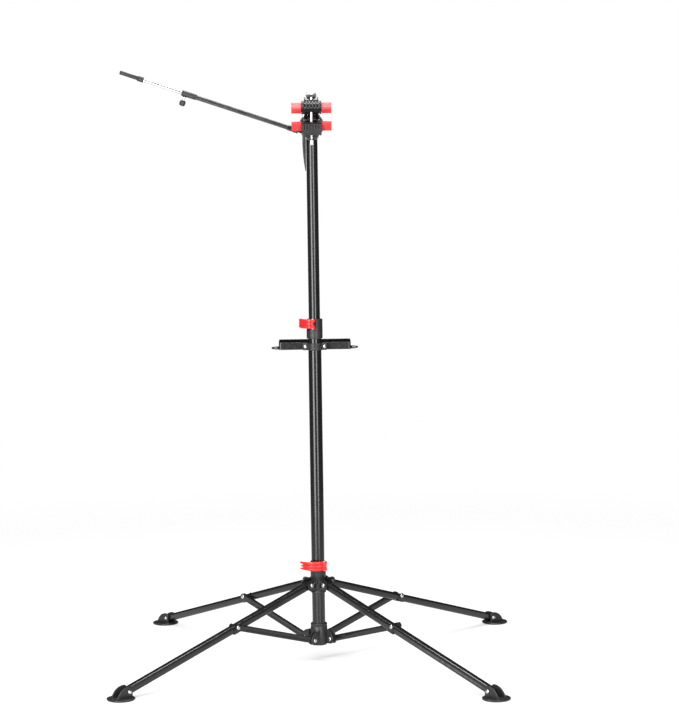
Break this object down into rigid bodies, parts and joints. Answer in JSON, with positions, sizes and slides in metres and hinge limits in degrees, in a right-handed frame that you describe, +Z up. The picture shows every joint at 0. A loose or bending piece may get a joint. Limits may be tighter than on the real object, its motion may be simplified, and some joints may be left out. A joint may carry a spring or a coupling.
{
  "type": "folding bicycle repair stand",
  "caption": "Folding floor stand with splayed legs, a telescoping mast, tool tray, turning clamp head with quick-release jaws and a handlebar holding rod.",
  "frame": {"origin": "on the floor under the mast's axis, at the middle of the square of feet", "axes": "+Z up along the mast; the clamp head reaches out along -Y; +X is to the right of someone facing the clamp"},
  "size_m": [1.0896, 1.0896, 1.5971],
  "materials": {
    "powder_black": "semi-gloss black powder coat",
    "cast_black": "fine-grained matte black",
    "cast_metal_black": "matte black textured paint on cast metal",
    "lever_red": "satin moulded red",
    "pad_red": "matte red rubber",
    "steel_bright": "bright zinc and chrome plate"
  },
  "bodies": {
    "frame": {"main_tube": "powder_black", "bottom_collar": "cast_black", "mast_collar": "cast_black", "mast_clamp_pin": "steel_bright", "tool_tray": "powder_black", "tray_strap": "cast_black", "tray_bolt_left": "steel_bright", "tray_bolt_right": "steel_bright"},
    "hub": {"hub": "cast_black", "hub_clamp_pin": "steel_bright", "hub_rivet_front_left": "steel_bright", "hub_rivet_front_right": "steel_bright", "hub_rivet_rear_right": "steel_bright", "hub_rivet_rear_left": "steel_bright"},
    "brace_front_left": {"brace_front_left": "powder_black", "brace_rivet_front_left": "steel_bright"},
    "leg_front_left": {"leg_front_left": "powder_black", "foot_rivet_front_left": "steel_bright"},
    "foot_front_left": {"foot_front_left": "cast_metal_black"},
    "brace_front_right": {"brace_front_right": "powder_black", "brace_rivet_front_right": "steel_bright"},
    "leg_front_right": {"leg_front_right": "powder_black", "foot_rivet_front_right": "steel_bright"},
    "foot_front_right": {"foot_front_right": "cast_metal_black"},
    "brace_rear_right": {"brace_rear_right": "powder_black", "brace_rivet_rear_right": "steel_bright"},
    "leg_rear_right": {"leg_rear_right": "powder_black", "foot_rivet_rear_right": "steel_bright"},
    "foot_rear_right": {"foot_rear_right": "cast_metal_black"},
    "brace_rear_left": {"brace_rear_left": "powder_black", "brace_rivet_rear_left": "steel_bright"},
    "leg_rear_left": {"leg_rear_left": "powder_black", "foot_rivet_rear_left": "steel_bright"},
    "foot_rear_left": {"foot_rear_left": "cast_metal_black"},
    "hub_clamp_lever": {"hub_clamp_lever": "lever_red"},
    "hub_clamp_knob": {"hub_clamp_knob": "cast_black"},
    "mast_clamp_lever": {"mast_clamp_lever": "lever_red"},
    "mast_clamp_knob": {"mast_clamp_knob": "cast_black"},
    "mast": {"upper_tube": "powder_black", "crossbar_tube": "powder_black", "fixed_disc": "cast_metal_black"},
    "lock_handle": {"lock_handle": "cast_black"},
    "head": {"head_shaft": "powder_black", "turning_disc": "cast_metal_black", "head_block": "cast_metal_black", "block_bolt": "steel_bright", "lower_jaw": "cast_metal_black", "lower_pad_left": "pad_red", "lower_pad_right": "pad_red", "jaw_pivot_bolt": "steel_bright"},
    "upper_jaw": {"upper_jaw": "cast_metal_black", "upper_pad_left": "pad_red", "upper_pad_right": "pad_red", "qr_rod": "steel_bright"},
    "qr_lever": {"qr_lever": "steel_bright"},
    "rod_ring": {"rod_ring": "cast_black"},
    "rod_tube": {"rod_tube": "powder_black"},
    "rod_core": {"rod_core": "steel_bright"},
    "rod_knob": {"rod_knob": "cast_black"},
    "rod_hook": {"rod_hook": "cast_black"}
  },
  "joints": [
    {"name": "brace_front_left_fold", "type": "hinge", "parent": "frame", "child": "brace_front_left", "pos_m": [-0.01531, -0.03408, 0.058], "axis": [-0.66, 0.7513, 0], "range_deg": [0, 70]},
    {"name": "leg_front_left_fold", "type": "hinge", "parent": "brace_front_left", "child": "leg_front_left", "pos_m": [-0.225, -0.19767, 0.133], "axis": [0.66, -0.7513, 0], "range_deg": [0, 140]},
    {"name": "foot_front_left_swivel", "type": "hinge", "parent": "leg_front_left", "child": "foot_front_left", "pos_m": [-0.49433, -0.43428, 0.019], "axis": [-0.66, 0.7513, 0], "range_deg": [0, 70]},
    {"name": "brace_front_right_fold", "type": "hinge", "parent": "frame", "child": "brace_front_right", "pos_m": [0.03408, -0.01531, 0.058], "axis": [-0.7513, -0.66, 0], "range_deg": [0, 70]},
    {"name": "leg_front_right_fold", "type": "hinge", "parent": "brace_front_right", "child": "leg_front_right", "pos_m": [0.19767, -0.225, 0.133], "axis": [0.7513, 0.66, 0], "range_deg": [0, 140]},
    {"name": "foot_front_right_swivel", "type": "hinge", "parent": "leg_front_right", "child": "foot_front_right", "pos_m": [0.43428, -0.49433, 0.019], "axis": [-0.7513, -0.66, 0], "range_deg": [0, 70]},
    {"name": "brace_rear_right_fold", "type": "hinge", "parent": "frame", "child": "brace_rear_right", "pos_m": [0.01531, 0.03408, 0.058], "axis": [0.66, -0.7513, 0], "range_deg": [0, 70]},
    {"name": "leg_rear_right_fold", "type": "hinge", "parent": "brace_rear_right", "child": "leg_rear_right", "pos_m": [0.225, 0.19767, 0.133], "axis": [-0.66, 0.7513, 0], "range_deg": [0, 140]},
    {"name": "foot_rear_right_swivel", "type": "hinge", "parent": "leg_rear_right", "child": "foot_rear_right", "pos_m": [0.49433, 0.43428, 0.019], "axis": [0.66, -0.7513, 0], "range_deg": [0, 70]},
    {"name": "brace_rear_left_fold", "type": "hinge", "parent": "frame", "child": "brace_rear_left", "pos_m": [-0.03408, 0.01531, 0.058], "axis": [0.7513, 0.66, 0], "range_deg": [0, 70]},
    {"name": "leg_rear_left_fold", "type": "hinge", "parent": "brace_rear_left", "child": "leg_rear_left", "pos_m": [-0.19767, 0.225, 0.133], "axis": [-0.7513, -0.66, 0], "range_deg": [0, 140]},
    {"name": "foot_rear_left_swivel", "type": "hinge", "parent": "leg_rear_left", "child": "foot_rear_left", "pos_m": [-0.43428, 0.49433, 0.019], "axis": [0.7513, 0.66, 0], "range_deg": [0, 70]},
    {"name": "hub_tilt", "type": "hinge", "parent": "leg_front_left", "child": "hub", "pos_m": [-0.02554, -0.02244, 0.208], "axis": [-0.66, 0.7513, 0], "range_deg": [0, 70]},
    {"name": "hub_clamp_swing", "type": "hinge", "parent": "hub", "child": "hub_clamp_lever", "pos_m": [0.01749, -0.02238, 0.2595], "axis": [0, 0, 1], "range_deg": [0, 110]},
    {"name": "hub_knob_turn", "type": "hinge", "parent": "hub", "child": "hub_clamp_knob", "pos_m": [0, 0.026, 0.24], "axis": [0, 1, 0], "continuous": true},
    {"name": "mast_clamp_swing", "type": "hinge", "parent": "frame", "child": "mast_clamp_lever", "pos_m": [-0.00493, -0.02797, 0.9165], "axis": [0, 0, 1], "range_deg": [0, 110]},
    {"name": "mast_knob_turn", "type": "hinge", "parent": "frame", "child": "mast_clamp_knob", "pos_m": [0, 0.027, 0.888], "axis": [0, 1, 0], "continuous": true},
    {"name": "mast_slide", "type": "slide", "parent": "frame", "child": "mast", "axis": [0, 0, 1], "range_m": [-0.45, 0.1]},
    {"name": "lock_handle_turn", "type": "hinge", "parent": "mast", "child": "lock_handle", "pos_m": [0, 0.07, 1.447], "axis": [0, 1, 0], "continuous": true},
    {"name": "head_turn", "type": "hinge", "parent": "mast", "child": "head", "pos_m": [0, -0.087, 1.447], "axis": [0, 1, 0], "continuous": true},
    {"name": "jaw_close", "type": "hinge", "parent": "head", "child": "upper_jaw", "pos_m": [0, -0.1574, 1.4736], "axis": [1, 0, 0], "range_deg": [-7, 13]},
    {"name": "qr_lever_swing", "type": "hinge", "parent": "upper_jaw", "child": "qr_lever", "pos_m": [0, -0.2064, 1.5265], "axis": [1, 0, 0], "range_deg": [0, 120]},
    {"name": "rod_ring_turn", "type": "hinge", "parent": "head", "child": "rod_ring", "pos_m": [0, -0.121, 1.447], "axis": [0, -1, 0], "range_deg": [-30, 107]},
    {"name": "rod_fork_swing", "type": "hinge", "parent": "rod_ring", "child": "rod_tube", "pos_m": [-0.04089, -0.121, 1.43563], "axis": [0.3239, 0, 0.9461], "range_deg": [-60, 60]},
    {"name": "rod_slide", "type": "slide", "parent": "rod_tube", "child": "rod_core", "axis": [-0.9461, 0, 0.3239], "range_m": [-0.09, 0.1]},
    {"name": "rod_knob_turn", "type": "hinge", "parent": "rod_tube", "child": "rod_knob", "pos_m": [-0.3285, -0.121, 1.5341], "axis": [-0.3239, 0, -0.9461], "continuous": true},
    {"name": "rod_hook_turn", "type": "hinge", "parent": "rod_core", "child": "rod_hook", "pos_m": [-0.44013, -0.121, 1.57232], "axis": [-0.9461, 0, 0.3239], "continuous": true}
  ],
  "couplings": [
    {"joint": "leg_front_left_fold", "follows": "brace_front_left_fold", "ratio": 2},
    {"joint": "foot_front_left_swivel", "follows": "brace_front_left_fold", "ratio": 1},
    {"joint": "brace_front_right_fold", "follows": "brace_front_left_fold", "ratio": 1},
    {"joint": "leg_front_right_fold", "follows": "brace_front_left_fold", "ratio": 2},
    {"joint": "foot_front_right_swivel", "follows": "brace_front_left_fold", "ratio": 1},
    {"joint": "brace_rear_right_fold", "follows": "brace_front_left_fold", "ratio": 1},
    {"joint": "leg_rear_right_fold", "follows": "brace_front_left_fold", "ratio": 2},
    {"joint": "foot_rear_right_swivel", "follows": "brace_front_left_fold", "ratio": 1},
    {"joint": "brace_rear_left_fold", "follows": "brace_front_left_fold", "ratio": 1},
    {"joint": "leg_rear_left_fold", "follows": "brace_front_left_fold", "ratio": 2},
    {"joint": "foot_rear_left_swivel", "follows": "brace_front_left_fold", "ratio": 1},
    {"joint": "hub_tilt", "follows": "brace_front_left_fold", "ratio": 1}
  ]
}
